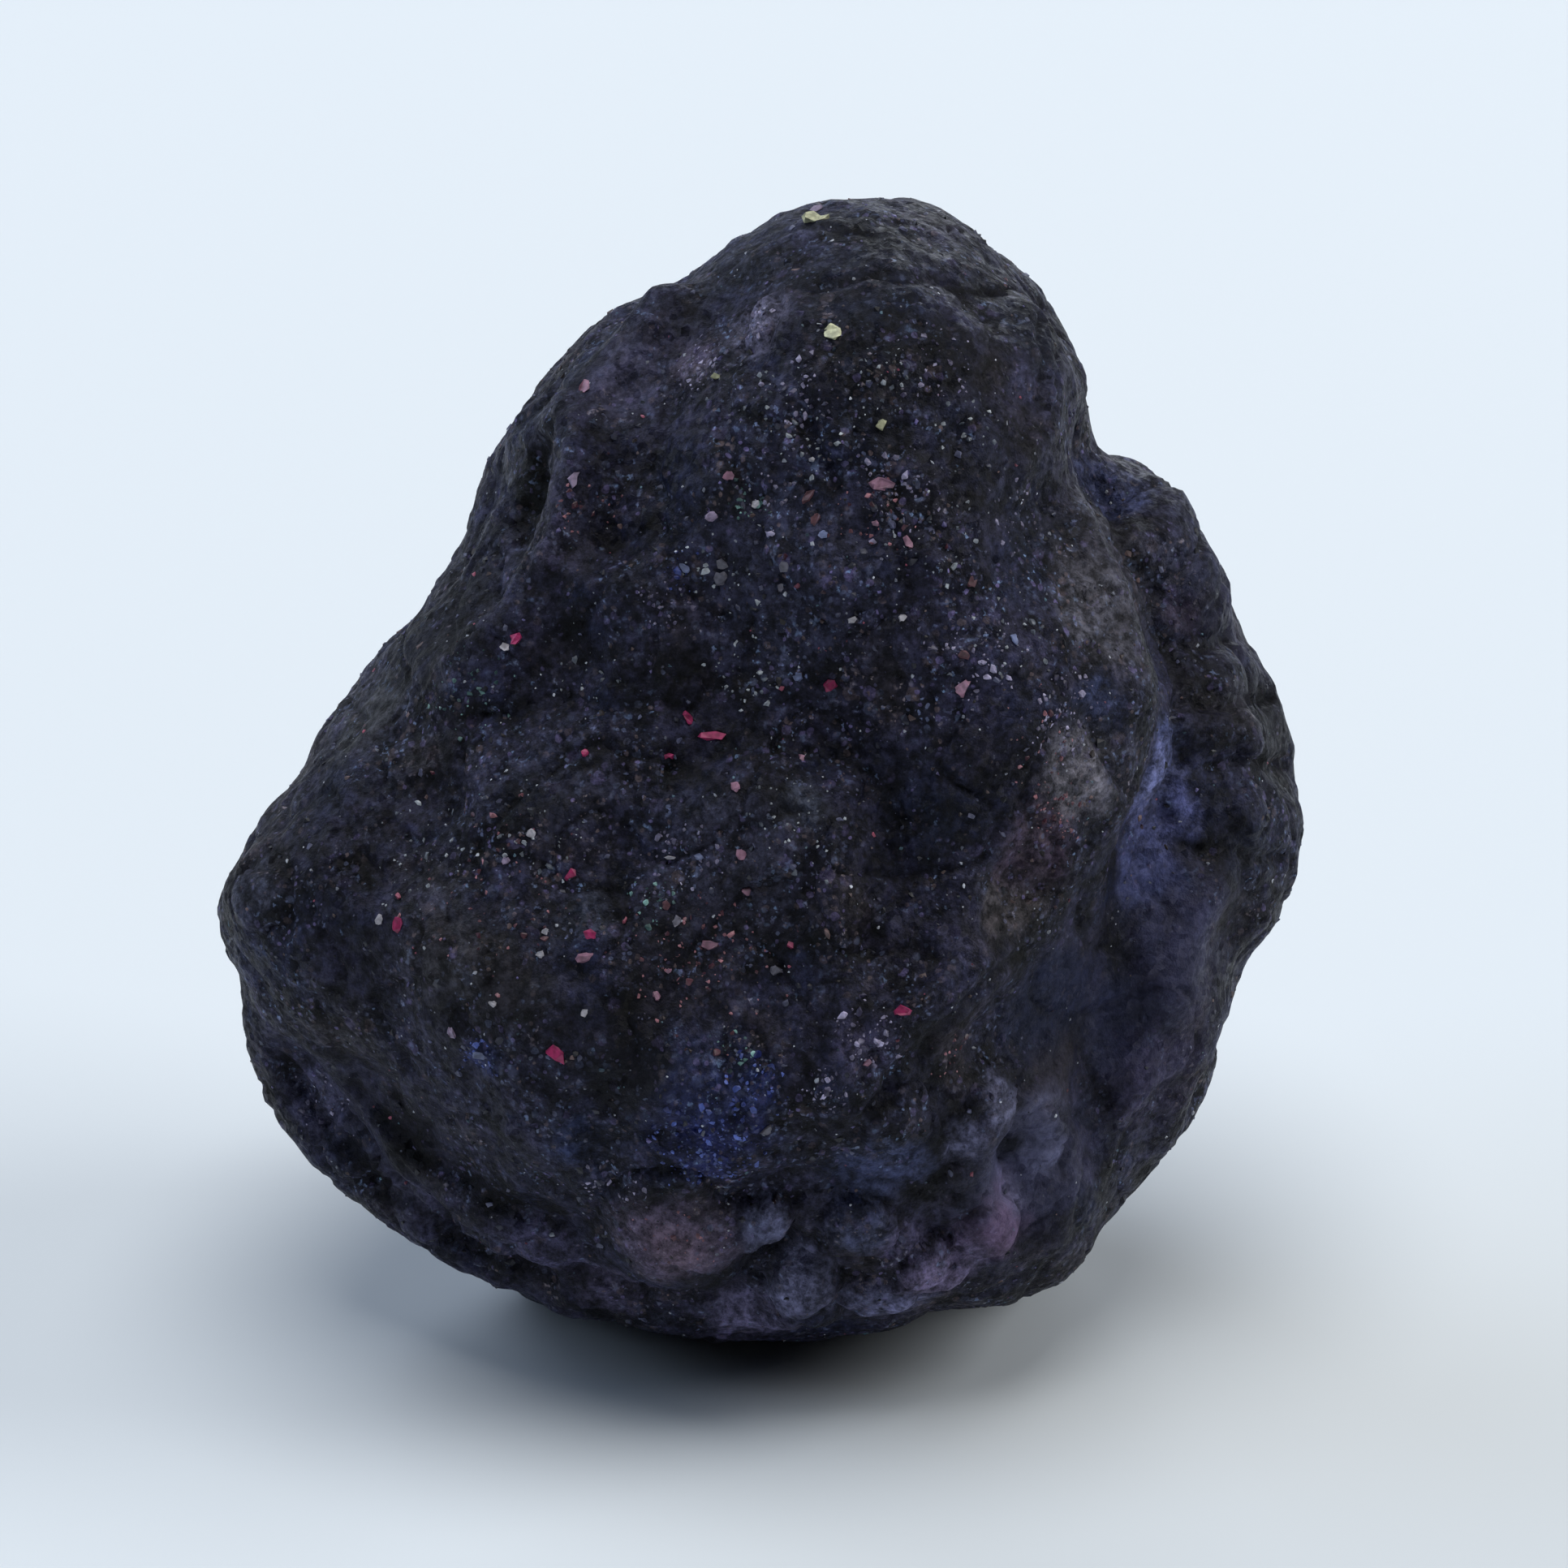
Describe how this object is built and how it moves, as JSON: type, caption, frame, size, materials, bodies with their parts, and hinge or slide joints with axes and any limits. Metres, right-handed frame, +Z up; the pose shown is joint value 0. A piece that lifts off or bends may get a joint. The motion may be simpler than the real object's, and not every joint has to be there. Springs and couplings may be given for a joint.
{
  "type": "rough sapphire",
  "caption": "Uncut blackish corundum nodule with a broad leaning face, a head and a rear shoulder, lumpy, chipped and pitted, standing on a flat underside.",
  "frame": {"origin": "middle of the stone's footprint box, on the plane of the flat that it stands on", "axes": "+Z up from the surface it stands on, -Y towards the broad leaning face, +X to the right of that face"},
  "size_m": [0.0338, 0.0268, 0.0345],
  "materials": {
    "corundum": "rough granular stone, blackish blue with violet and olive-brown patches and fine glinting grains"
  },
  "bodies": {
    "root": {"sapphire_nodule": "corundum"}
  },
  "joints": []
}
